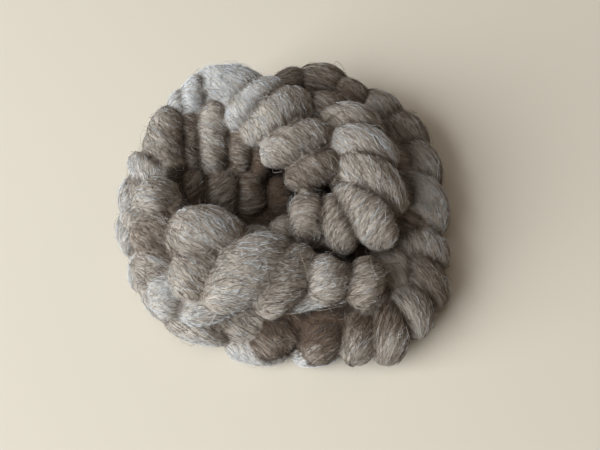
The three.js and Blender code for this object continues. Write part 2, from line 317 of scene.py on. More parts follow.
def drift(x, y, seed):
    """Smooth noise from -1 to 1, one swell to each unit of x and y."""
    left, low = np.floor(x), np.floor(y)
    u, v = x - left, y - low
    u, v = u * u * (3 - 2 * u), v * v * (3 - 2 * v)
    near = lattice(left, low, seed) * (1 - u) + lattice(left + 1, low, seed) * u
    far = lattice(left, low + 1, seed) * (1 - u) + lattice(left + 1, low + 1, seed) * u
    return 2 * (near * (1 - v) + far * v) - 1


class Folds:
    """Every fold of the plait: its place, directions, sizes, comb angle and tone, and the wool on it."""

    def __init__(self):
        rows = [self.from_row(*row) for row in FOLDS]
        for row in SIDE_ROWS:
            rows += self.from_side(*row)
        names, middle, along, crown, sizes, comb, tone = zip(*rows)
        self.middle = np.array(middle) - MIDDLE
        self.along = np.array(along)
        self.crown = np.array(crown)
        self.side = np.cross(self.along, self.crown)
        self.sizes = np.array(sizes, float)
        self.comb = np.array(comb)
        self.tone = np.array(tone, float)
        self.count = len(rows)
        parts, merging = zip(*(KINDS[name[0]] for name in names))
        self.merging = np.array(merging)
        ends = ["_front" if y < FRONT else "_back" for y in self.middle[:, 1]]
        self.parts = [part + end if part == "lower" else part for part, end in zip(parts, ends)]

    @staticmethod
    def from_row(name, x, y, z, turn, rise, roll, long, wide, deep, lie, tone):
        """A fold from its row of the table."""
        turn, rise, roll, lie = (math.radians(angle) for angle in (turn, rise, roll, lie))
        level = math.cos(rise)
        along = np.array([math.cos(turn) * level, math.sin(turn) * level, math.sin(rise)])
        upright = unit(np.array([0, 0, 1]) - along * along[2])
        crown = math.cos(roll) * upright + math.sin(roll) * np.cross(along, upright)
        side = np.cross(along, crown)
        fibres = np.array([math.cos(lie), math.sin(lie), 0])
        comb = math.atan2(fibres @ side, fibres @ along)
        return name, np.array([x, y, z], float), along, crown, (long, wide, deep), comb, tone

    @staticmethod
    def from_side(route, round_by, out, lean, long, wide, deep, start, end, pitch, lie, tone):
        """The folds of one hidden row, at an even pitch along their route."""
        angle = math.radians(round_by)
        comb = math.radians(lie)
        made = []
        for place in walk(route, start, end, pitch):
            middle, along, outward, top, _, _ = stop(route, place)
            crown = outward * math.sin(angle) + top * math.cos(angle)
            along = turned(along, crown, lean)
            made.append((route, middle + crown * out, along, crown, (long, wide, deep), comb, tone))
        return made

    def point(self, which, reach, angle):
        """Points on the folds' surfaces: reach from end to end, angle round from the crown."""
        long, wide, deep = self.sizes[which].T
        fat = np.sqrt(np.maximum(1 - reach * reach, 0)) ** BLUNT
        across = wide * fat * np.sin(angle)
        lift = deep * fat * np.cos(angle) - DROOP * long * reach * reach
        return (
            self.middle[which]
            + self.along[which] * (reach * long)[:, None]
            + self.side[which] * across[:, None]
            + self.crown[which] * lift[:, None]
        )

    def seen_from(self, points, which):
        """Reach, angle and depth of points against one fold each."""
        long, wide, deep = self.sizes[which].T
        offset = points - self.middle[which]
        reach = np.sum(offset * self.along[which], axis=-1) / long
        held = np.clip(reach, -TIP, TIP)
        fat = np.sqrt(1 - held * held) ** BLUNT
        across = np.sum(offset * self.side[which], axis=-1) / (wide * fat)
        lift = (np.sum(offset * self.crown[which], axis=-1) + DROOP * long * held * held) / (deep * fat)
        depth = np.hypot(across, lift) + np.maximum(np.abs(reach) - TIP, 0) * TIP_STEEP
        return reach, np.arctan2(across, lift), depth

    def around(self, k, points, margin):
        """Whether each point lies within one fold's largest size and a margin of its middle."""
        size = self.sizes[k].max() + margin
        return np.sum((points - self.middle[k]) ** 2, axis=1) < size * size

    def depth_in(self, k, points):
        """The depth of points against one fold."""
        _, _, depth = self.seen_from(points, np.full(len(points), k))
        return depth

    def nearest(self, points):
        """The fold that each point lies on, and its depth against that fold."""
        best = np.zeros(len(points), int)
        least = np.full(len(points), np.inf)
        for k in range(self.count):
            close = np.flatnonzero(self.around(k, points, 8))
            depth = self.depth_in(k, points[close])
            better = depth < least[close]
            least[close[better]] = depth[better]
            best[close[better]] = k
        return best, least

    def buried(self, points, own):
        """Whether each point lies inside a fold other than its own."""
        hidden = np.zeros(len(points), bool)
        for k in range(self.count):
            close = np.flatnonzero(self.around(k, points, 0) & (own != k) & ~hidden)
            hidden[close] = self.depth_in(k, points[close]) < HIDDEN
        return hidden

    def creases(self, points, own):
        """How deep each point lies in a crease, from 0 to 1: the sharp part of it, then the soft."""
        sharp = np.zeros(len(points))
        soft = np.zeros(len(points))
        for k in range(self.count):
            close = np.flatnonzero(self.around(k, points, 6) & (own != k))
            depth = self.depth_in(k, points[close])
            share = np.clip((CREASE_START - depth) / CREASE_SPAN, 0, 1) ** 2
            merging = np.minimum(self.merging[own[close]], self.merging[k])
            sharp[close] = np.maximum(sharp[close], share * (1 - merging))
            soft[close] = np.maximum(soft[close], share * merging)
        return sharp, soft

    def shadow(self, points, own):
        """How dark the painted shade is in the creases round each point, from 0 to 1."""
        sharp, soft = self.creases(points, own)
        return np.minimum(sharp + SOFT_SHADOW * soft, 1)

    def bridge(self, points, own, crease_depth):
        """How far in mm the wool fills the creases round each point. Below 0 it draws in there."""
        sharp, soft = self.creases(points, own)
        return SOFT_FILL * soft - crease_depth / MM * sharp

    def strand(self, which, reach, angle):
        """Where a place lies among its fold's fibres, in mm: across them, then along them."""
        long, wide, deep = self.sizes[which].T
        lengthwise = reach * long
        girth = angle * (wide + deep) / 2
        comb = self.comb[which]
        across = girth * np.cos(comb) - lengthwise * np.sin(comb)
        run = lengthwise * np.cos(comb) + girth * np.sin(comb)
        return across, run

    def relief(self, which, reach, angle, height):
        """How far the lumps and the broad wisps stand up from a fold's surface, in mm."""
        across, run = self.strand(which, reach, angle)
        apart = which * 37
        raised = 0
        for wide, long, share, seed in RELIEF:
            raised = raised + share * drift(across / wide + apart, run / long, seed)
        return height * raised

    def wisp(self, which, reach, angle):
        """The narrowest wisps, from -1 where fibres stand proud and get a painted highlight to 1 where
        they lie low and get painted shade.
        """
        across, run = self.strand(which, reach, angle)
        sway = 0.6 * drift(run / 4.5, across / 7 + which * 3.7, 24)
        return drift(across / 1.15 + which * 7.1 + sway, run / 9, 22)

    def tone_and_light(self, which, points):
        """How brown the wool is: its fold's tone, with its painted light and shade, a slow drift, and a
        paler rim along the front that is painted highlight.
        """
        slow = drift(points[:, 0] / 22 + 3, points[:, 1] / 22 + points[:, 2] / 30, 21)
        # Painted highlight along the front rim
        rim = np.clip((RIM_START - points[:, 1]) / RIM_WIDTH, 0, 1)
        return self.tone[which] + 0.4 * slow - RIM_HIGHLIGHT * rim


def read(items, name, width=1, kind=float):
    """One property of every item as an array, in rows where it has a width."""
    values = np.empty(len(items) * width, kind)
    items.foreach_get(name, values)
    return values.reshape(-1, width) if width > 1 else values


def set_points(mesh, points):
    """Moves a mesh's points to places in mm."""
    mesh.vertices.foreach_set("co", np.ascontiguousarray(points * MM, float).ravel())
    mesh.update()


def ball(segments, rings):
    """A ball of radius 1 to warp, and its points."""
    bpy.ops.object.select_all(action="DESELECT")
    bpy.ops.mesh.primitive_uv_sphere_add(segments=segments, ring_count=rings, radius=1)
    made = bpy.context.active_object
    return made, read(made.data.vertices, "co", 3)


def fold_balls(folds, sizes):
    """A ball for each fold, warped to the fold's form."""
    template, round_points = ball(sizes.sides, sizes.rings)
    angle = np.arctan2(round_points[:, 1], round_points[:, 0])
    made = []
    for k in range(folds.count):
        copy = template.copy()
        copy.data = template.data.copy()
        bpy.context.collection.objects.link(copy)
        which = np.full(len(round_points), k)
        set_points(copy.data, folds.point(which, round_points[:, 2], angle))
        made.append(copy)
    bpy.data.objects.remove(template)
    return made


def core_points(route, points):
    """A ball's points drawn out along a turn, as the blunt core of the plait."""
    stations, closed, _ = ROUTES[route]
    spans = len(stations) + 1 if closed else len(stations) - 1
    levels, at = np.unique(np.round(points[:, 2], 5), return_inverse=True)
    placed = np.empty_like(points)
    for k, level in enumerate(levels):
        here = at.ravel() == k
        share = math.acos(max(-1, min(1, -level))) / math.pi
        middle, along, _, top, wide, deep = stop(route, share * spans)
        waist = math.sqrt(max(0, 1 - level * level))
        fat = min(1, waist * CORE_BLUNT) / max(waist, 1e-6)
        right = np.cross(along, top)
        placed[here] = middle + np.outer(points[here, 1] * fat * wide, right)
        placed[here] += np.outer(points[here, 0] * fat * deep, top)
    return placed - MIDDLE


def cores():
    """The cores of the three turns."""
    made = []
    for route in ROUTES:
        core, round_points = ball(segments=16, rings=72)
        set_points(core.data, core_points(route, round_points))
        made.append(core)
    return made


def apply(piece, kind, **settings):
    """Adds a modifier to a piece and applies it."""
    modifier = piece.modifiers.new(kind.lower(), kind)
    for name, value in settings.items():
        setattr(modifier, name, value)
    bpy.ops.object.modifier_apply(modifier=modifier.name)


def loose_shells(mesh):
    """Marks the points that aren't on the outer skin, such as pockets sealed inside the wool."""
    one, other = read(mesh.edges, "vertices", 2, np.int32).T
    label = np.arange(len(mesh.vertices))
    settled = False
    while not settled:
        least = np.minimum(label[one], label[other])
        fresh = label.copy()
        np.minimum.at(fresh, one, least)
        np.minimum.at(fresh, other, least)
        fresh = fresh[fresh]
        settled = np.array_equal(fresh, label)
        label = fresh
    names, counts = np.unique(label, return_counts=True)
    return label != names[np.argmax(counts)]


def shape_skin(folds, sizes):
    """One closed skin over every fold and core, cut flat where it touches the surface."""
    pieces = fold_balls(folds, sizes) + cores()
    bpy.ops.object.select_all(action="DESELECT")
    for piece in pieces:
        piece.select_set(True)
    skin = pieces[0]
    bpy.context.view_layer.objects.active = skin
    bpy.ops.object.join()
    skin.name = "wool_skin"
    skin.data.name = "wool_skin"
    apply(skin, "REMESH", mode="VOXEL", voxel_size=sizes.voxel, use_smooth_shade=True)
    apply(skin, "SMOOTH", factor=0.5, iterations=sizes.softness)
    spare = loose_shells(skin.data)
    bpy.ops.object.mode_set(mode="EDIT")
    bpy.ops.mesh.select_mode(type="VERT")
    bpy.ops.mesh.select_all(action="DESELECT")
    bpy.ops.object.mode_set(mode="OBJECT")
    skin.data.vertices.foreach_set("select", spare)
    bpy.ops.object.mode_set(mode="EDIT")
    bpy.ops.mesh.delete(type="VERT")
    bpy.ops.mesh.select_all(action="SELECT")
    bpy.ops.mesh.bisect(plane_co=(0, 0, 0), plane_no=(0, 0, 1), clear_inner=True, use_fill=True)
    bpy.ops.object.mode_set(mode="OBJECT")
    return skin


def raise_wisps(mesh, folds, sizes):
    """Raises lumps and wisps on the skin, draws in its sharp creases and fills the soft ones."""
    points = read(mesh.vertices, "co", 3) / MM
    normals = read(mesh.vertices, "normal", 3)
    which, depth = folds.nearest(points)
    reach, angle, _ = folds.seen_from(points, which)
    raised = folds.relief(which, reach, angle, sizes.wisp_height / MM)
    raised *= np.clip(2.2 - 1.4 * depth, 0, 1)
    raised += folds.bridge(points, which, sizes.crease_depth)
    flat = points[:, 2] < 1.5
    raised[flat] = 0
    points = points + normals * raised[:, None]
    points[:, 2] = np.maximum(points[:, 2], 0)
    set_points(mesh, points)


def map_strands(mesh, folds):
    """Lays out the skin's strand map, in mm across and along the fibres, fold by fold."""
    points = read(mesh.vertices, "co", 3) / MM
    centres = read(mesh.polygons, "center", 3) / MM
    corners = read(mesh.loops, "vertex_index", kind=int)
    totals = read(mesh.polygons, "loop_total", kind=int)
    owner, _ = folds.nearest(centres)
    _, middle_angle, _ = folds.seen_from(centres, owner)
    owner, middle_angle = np.repeat(owner, totals), np.repeat(middle_angle, totals)
    reach, angle, _ = folds.seen_from(points[corners], owner)
    angle += 2 * math.pi * np.round((middle_angle - angle) / (2 * math.pi))
    across, run = folds.strand(owner, reach, angle)
    strands = mesh.uv_layers.new(name="Strands")
    strands.data.foreach_set("uv", np.stack([across + 131 * owner, run], axis=1).ravel())


def mark_tones(mesh, folds):
    """Keeps on each point of the skin how dark the painted shade is in its creases and in the recesses
    where the core shows between folds, and how brown the wool is, with its painted light and shade.
    """
    points = read(mesh.vertices, "co", 3) / MM
    own, clear = folds.nearest(points)
    # Painted shade in the recesses, where the core shows between the folds
    recess_shade = np.clip((clear - 1.08) / 0.2, 0, 0.9)
    painted_shade = np.maximum(folds.shadow(points, own), recess_shade)
    for name, values in (("crease_shade", painted_shade), ("tone", folds.tone_and_light(own, points))):
        attribute = mesh.attributes.new(name, "FLOAT", "POINT")
        attribute.data.foreach_set("value", values)


def node(tree, kind, sockets=None, **settings):
    """A shader node with its settings, and a value or another node's output on each socket named."""
    made = tree.nodes.new(kind)
    for name, value in settings.items():
        setattr(made, name, value)
    for name, value in (sockets or {}).items():
        if isinstance(value, bpy.types.NodeSocket):
            tree.links.new(value, made.inputs[name])
        else:
            made.inputs[name].default_value = value
    return made


def ramp(tree, source, *stops):
    """The output of a colour ramp, from its places and colours, lowest first."""
    made = node(tree, "ShaderNodeValToRGB", {"Fac": source})
    elements = made.color_ramp.elements
    elements[0].position, elements[1].position = stops[0][0], stops[-1][0]
    for place, _ in stops[1:-1]:
        elements.new(place)
    for element, (_, colour) in zip(elements, stops):
        element.color = (*colour, 1)
    return made.outputs["Color"]


def noise(tree, place, scale, detail, roughness):
    """The output of a noise texture."""
    sockets = {"Vector": place, "Scale": scale, "Detail": detail, "Roughness": roughness}
    return node(tree, "ShaderNodeTexNoise", sockets).outputs["Fac"]


def mixed(tree, share, first, second, kind="RGBA", blend="MIX"):
    """The output of a mix of two values or colours."""
    sockets = {"Factor": share, "A": first, "B": second}
    return node(tree, "ShaderNodeMix", sockets, data_type=kind, blend_type=blend).outputs["Result"]


def skin_wool(colours):
    """The wool between the fibres: streaks along the strands, slow drifts from grey to brown with painted
    light and shade in them, and painted shade in the creases.
    """
    material = bpy.data.materials.new("combed_wool_skin")
    material.use_nodes = True
    tree = material.node_tree
    tree.nodes.clear()
    strands = node(tree, "ShaderNodeUVMap", uv_map="Strands").outputs["UV"]
    fine_lie = node(tree, "ShaderNodeMapping", {"Vector": strands, "Scale": (1.1, 0.1, 1)})
    broad_lie = node(tree, "ShaderNodeMapping", {"Vector": strands, "Scale": (0.42, 0.03, 1)})
    fine = noise(tree, fine_lie.outputs["Vector"], 1, 4, 0.65)
    broad = noise(tree, broad_lie.outputs["Vector"], 1, 2, 0.5)
    streak = mixed(tree, 0.4, fine, broad, "FLOAT")
    # The tone holds the wool's own tone with its painted light and shade
    tone_with_shade = node(tree, "ShaderNodeAttribute", attribute_name="tone").outputs["Fac"]
    streaked_tone = node(tree, "ShaderNodeMath", {0: tone_with_shade, 1: -0.13, 2: streak}, operation="MULTIPLY_ADD")
    greys = (0.22, colours.umber), (0.52, colours.fawn), (0.78, colours.silver)
    grey = ramp(tree, streaked_tone.outputs["Value"], *greys)
    place = node(tree, "ShaderNodeTexCoord").outputs["Object"]
    patches = noise(tree, place, 38, 2, 0.5)
    warm = ramp(tree, patches, (0.35, (0.62, 0.55, 0.48)), (0.65, (1, 1, 1)))
    tint = mixed(tree, 0.6, grey, warm, blend="MULTIPLY")
    # Painted shade: the skin is mixed towards the crease colour by how deep its crease and recess shade
    # is
    crease_shade_share = node(tree, "ShaderNodeAttribute", attribute_name="crease_shade").outputs["Fac"]
    shade = mixed(tree, crease_shade_share, tint, (*colours.crease_shade, 1))
    bump = node(tree, "ShaderNodeBump", {"Height": streak, "Strength": 0.7, "Distance": 0.0005})
    finish = {"Roughness": 0.9, "Sheen Weight": 0.08, "Sheen Roughness": 0.5, "Specular IOR Level": 0.2}
    finish |= {"Base Color": shade, "Normal": bump.outputs["Normal"]}
    wool = node(tree, "ShaderNodeBsdfPrincipled", finish)
    node(tree, "ShaderNodeOutputMaterial", {"Surface": wool.outputs["BSDF"]})
    return material


def plain_material(name, colour, finish):
    """A material of one colour, with its finish by the names of the shader's sockets."""
    material = bpy.data.materials.new(name)
    material.use_nodes = True
    shader = material.node_tree.nodes["Principled BSDF"]
    for socket, value in {"Base Color": (*colour, 1), **finish}.items():
        shader.inputs[socket].default_value = value
    return material


def fibre_shades(colours):
    """The fibres' materials from pale to dark, each made once. Side by side they give the melange."""
    finish = {"Roughness": 0.62, "Specular IOR Level": 0.35, "Sheen Weight": 0.08, "Sheen Roughness": 0.4}
    made = []
    for name in ("cream", "silver", "fawn", "taupe", "umber"):
        label = f"wool_fibre_{name}"
        known = bpy.data.materials.get(label)
        made.append(known or plain_material(label, getattr(colours, name), finish))
    return made


def pick_shades(folds, which, reach, angle, chance, darker):
    """A shade for each fibre: a melange that drifts between paler and browner wisps and places, with
    painted shade in the creases and on low wisps, and painted highlight on proud wisps and the front rim.
    """
    middle = folds.point(which, reach, angle)
    deep = folds.shadow(middle, which)
    # Painted shade in the creases and on low wisps, and the fold's tone with its painted light and shade
    tone = BASE_TONE + darker + folds.tone_and_light(which, middle) + CREASE_SHADE * deep
    tone = tone + WISP_SHADE * folds.wisp(which, reach, angle) + chance.normal(0, TONE_SPREAD, len(which))
    return np.clip(np.round(tone), 0, 4).astype(int)


def seeds(folds, count, chance, lowest, density=1):
    """Places spread over the folds' open surface: which fold, reach and angle."""
    long, wide, deep = folds.sizes.T
    girth = 2 * math.pi * np.sqrt((wide * wide + deep * deep) / 2)
    area = girth * 2 * long * density
    tries = count * 5
    which = chance.choice(folds.count, tries, p=area / area.sum())
    reach = chance.uniform(-TIP, TIP, tries)
    angle = chance.uniform(-math.pi, math.pi, tries)
    long, wide, deep = folds.sizes[which].T
    fat = np.sqrt(1 - reach * reach) ** BLUNT
    local = np.hypot(wide * np.cos(angle), deep * np.sin(angle)) / np.maximum(wide, deep)
    kept = chance.uniform(0, 1, tries) < fat * local
    which, reach, angle = which[kept], reach[kept], angle[kept]
    points = folds.point(which, reach, angle)
    open_air = (points[:, 2] > lowest) & ~folds.buried(points, which)
    which, reach, angle = which[open_air], reach[open_air], angle[open_air]
    return which[:count], reach[:count], angle[:count]


def trace(folds, which, reach, angle, lie, length, rings):
    """Points along each fibre, from half its length back, and the outward direction at each."""
    step = length / (rings - 1)
    long, wide, deep = folds.sizes[which].T

    def advance(reach, angle, distance):
        fat = np.sqrt(np.clip(1 - reach * reach, 0.06, 1)) ** BLUNT
        girth = np.hypot(wide * np.cos(angle), deep * np.sin(angle)) * fat
        stretch = long * np.hypot(1, 0.6 * reach)
        reach = np.clip(reach + np.cos(lie) * distance / stretch, -0.985, 0.985)
        return reach, angle + np.sin(lie) * distance / girth

    def beside(reach_by, angle_by):
        return folds.point(which, np.clip(reach + reach_by, -0.99, 0.99), angle + angle_by)

    for _ in range(2):
        reach, angle = advance(reach, angle, -step * (rings - 1) / 4)
    points, outs = [], []
    for _ in range(rings):
        lengthwise = beside(0.01, 0) - beside(-0.01, 0)
        roundwise = beside(0, 0.02) - beside(0, -0.02)
        outs.append(unit(np.cross(roundwise, lengthwise)))
        points.append(folds.point(which, reach, angle))
        reach, angle = advance(reach, angle, step)
    points, outs = np.stack(points, axis=1), np.stack(outs, axis=1)
    middle = folds.middle[which][:, None, :]
    facing = np.sign(np.sum(outs * (points - middle), axis=2, keepdims=True))
    return points, outs * facing


def prism_faces(inner):
    """The faces of a three-sided prism with a point at each end and some rings of corners between."""
    faces = []
    top = 1 + (inner - 1) * 3
    for turn in range(3):
        beside = (turn + 1) % 3
        faces.append((0, 1 + beside, 1 + turn))
        for k in range(inner - 1):
            low, high = 1 + k * 3, 4 + k * 3
            faces.append((low + turn, low + beside, high + beside, high + turn))
        faces.append((top + turn, top + beside, top + 3))
    return faces


def fibre_mesh(name, paths, outs, radii, shades, materials):
    """A closed, three-sided, tapered prism along each path, all in one finished piece."""
    count, rings, _ = paths.shape
    tangents = unit(np.gradient(paths, axis=1))
    sides = unit(np.cross(tangents, outs))
    outs = np.cross(sides, tangents)
    corners = np.empty((count, 2 + (rings - 2) * 3, 3))
    corners[:, 0] = paths[:, 0]
    corners[:, -1] = paths[:, -1]
    for k in range(1, rings - 1):
        for turn in range(3):
            angle = math.radians(90 + 120 * turn)
            offset = sides[:, k] * math.cos(angle) + outs[:, k] * math.sin(angle)
            corners[:, k * 3 - 2 + turn] = paths[:, k] + offset * radii[:, k - 1][:, None]
    floor_gap = 0.02
    corners[..., 2] = np.maximum(corners[..., 2], floor_gap)
    faces = prism_faces(rings - 2)
    pattern = np.concatenate([np.array(face) for face in faces])
    loops = (pattern[None, :] + (np.arange(count) * corners.shape[1])[:, None]).ravel()
    totals = np.tile([len(face) for face in faces], count)
    mesh = bpy.data.meshes.new(name)
    mesh.vertices.add(count * corners.shape[1])
    mesh.vertices.foreach_set("co", (corners * MM).ravel())
    mesh.loops.add(len(loops))
    mesh.loops.foreach_set("vertex_index", loops)
    mesh.polygons.add(len(totals))
    mesh.polygons.foreach_set("loop_start", np.concatenate([[0], np.cumsum(totals)[:-1]]))
    mesh.polygons.foreach_set("material_index", np.repeat(shades, len(faces)))
    for material in materials:
        mesh.materials.append(material)
    mesh.update(calc_edges=True)
    mesh.polygons.foreach_set("use_smooth", np.ones(len(totals), bool))
    finish_piece(placed(name, mesh))


def placed(name, data):
    """A new object in the scene."""
    made = bpy.data.objects.new(name, data)
    bpy.context.collection.objects.link(made)
    return made


def finish_piece(piece):
    """Gives a new piece its body."""
    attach(piece, "root")


def count_setting(name, description, default):
    """A whole number that a user may change."""
    return bpy.props.IntProperty(name=name, description=description, default=default)


def length_setting(name, description, default):
    """A size that a user may change, in metres."""
    return bpy.props.FloatProperty(name=name, description=description, default=default, unit="LENGTH")


def colour_setting(name, description, *default):
    """A colour that a user may change."""
    return bpy.props.FloatVectorProperty(
        name=name, description=description, default=default, subtype="COLOR"
    )


class WoolSizes(bpy.types.PropertyGroup):
    sides: count_setting("Sides", "Faces round a fold", 44)
    rings: count_setting("Rings", "Faces along a fold", 30)
    voxel: length_setting("Skin grain", "Size of the skin's faces", 0.0015)
    softness: count_setting("Softness", "Rounds of smoothing", 2)
    wisp_height: length_setting("Wisp height", "Relief of the combed wisps", 0.0007)
    crease_depth: length_setting("Crease depth", "How far a crease draws in", 0.0012)
    fibres: count_setting("Fibres", "Short fibres laid on the skin", 74000)
    long_fibres: count_setting("Long fibres", "Longer fibres among the short ones", 9000)
    gap_fibres: count_setting("Gap fibres", "Fibres over the core between the folds", 4000)
    fibre_length: length_setting("Fibre length", "Length of a short fibre", 0.0066)
    crimp: length_setting("Crimp", "Sideways waver of a laid fibre", 0.00032)
    fibre_radius: length_setting("Fibre radius", "Half a laid fibre's thickness", 0.00012)
    fuzz: count_setting("Fuzz", "Short fibres that stand off", 9500)
    curls: count_setting("Curls", "Long loose fibres over the creases", 900)


class WoolColours(bpy.types.PropertyGroup):
    cream: colour_setting("Cream", "Palest fibres", 0.53, 0.512, 0.498)
    silver: colour_setting("Silver", "Pale grey fibres", 0.45, 0.424, 0.394)
    fawn: colour_setting("Fawn", "Middle fibres", 0.35, 0.295, 0.24)
    taupe: colour_setting("Taupe", "Brown-grey fibres", 0.2, 0.148, 0.104)
    umber: colour_setting("Umber", "Darkest fibres", 0.08, 0.048, 0.028)
    # Painted shade: the near-black colour that the skin takes deep in its creases and recesses
    crease_shade: colour_setting("Crease", "Wool deep in a crease", 0.022, 0.013, 0.008)
    floor: colour_setting("Floor", "Plain pale floor", 0.545, 0.465, 0.365)


class OBJECT_OT_wool_stage(bpy.types.Operator):
    """Floor, camera and soft daylight"""

    bl_idname = "object.wool_stage"
    bl_label = "Stage"
    ELEVATION = math.radians(66)  # of the camera above level
    DISTANCE = 0.41  # from the camera to its target
    TARGET = np.array([9.47, -17.1, 35]) * MM
    # Each lamp's name, place, width, power and colour
    LAMPS = (
        ("window", (-2.3, -1.15, 1.6), 2.6, 265, (0.8, 0.9, 1)),
        ("skylight", (-0.5, -0.1, 2.2), 1.4, 13, (0.93, 0.97, 1)),
        ("fill", (2.2, 1.3, 1.5), 2, 8, (1, 0.86, 0.7)),
    )

    def execute(self, context):
        scene = context.scene
        self.floor(scene.wool_colours.floor)
        scene.camera = self.camera()
        scene.view_settings.view_transform = "Standard"
        world = bpy.data.worlds.new("room")
        world.use_nodes = True
        sky = world.node_tree.nodes["Background"]
        sky.inputs["Color"].default_value = (1, 0.77, 0.55, 1)
        sky.inputs["Strength"].default_value = 0.06
        scene.world = world
        for lamp in self.LAMPS:
            self.light(*lamp)
        return {"FINISHED"}

    @staticmethod
    def floor(colour):
        """A plain matt floor."""
        bpy.ops.object.select_all(action="DESELECT")
        bpy.ops.mesh.primitive_plane_add(size=9)
        floor = bpy.context.active_object
        floor.name = "floor"
        matt = {"Roughness": 0.95, "Specular IOR Level": 0.1}
        floor.data.materials.append(plain_material("floor_paint", colour, matt))

    @classmethod
    def camera(cls):
        """The camera, in front of its target and above it."""
        eye = bpy.data.cameras.new("camera")
        eye.lens = 38
        eye.sensor_width = 36
        eye.clip_start = 0.01
        view = placed("camera", eye)
        back = np.array([0, -math.cos(cls.ELEVATION), math.sin(cls.ELEVATION)])
        view.location = cls.TARGET + back * cls.DISTANCE
        view.rotation_euler = (math.pi / 2 - cls.ELEVATION, 0, 0)
        return view

    @staticmethod
    def light(name, place, size, power, colour):
        """A square lamp that faces the origin."""
        lamp = bpy.data.lights.new(name, "AREA")
        lamp.size = size
        lamp.energy = power
        lamp.color = colour
        lit = placed(name, lamp)
        lit.location = place
        aim = -np.array(place) / np.linalg.norm(place)
        lit.rotation_euler = (math.acos(-aim[2]), 0, math.atan2(aim[1], aim[0]) - math.pi / 2)


class OBJECT_OT_wool_skin(bpy.types.Operator):
    """The plait's skin, over every fold and core"""

    bl_idname = "object.wool_skin"
    bl_label = "Skin"

    def execute(self, context):
        sizes = context.scene.wool_sizes
        folds = Folds()
        skin = shape_skin(folds, sizes)
        raise_wisps(skin.data, folds, sizes)
        map_strands(skin.data, folds)
        mark_tones(skin.data, folds)
        skin.data.materials.clear()
        skin.data.materials.append(skin_wool(context.scene.wool_colours))
        finish_piece(skin)
        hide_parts("wool_plait")
        return {"FINISHED"}


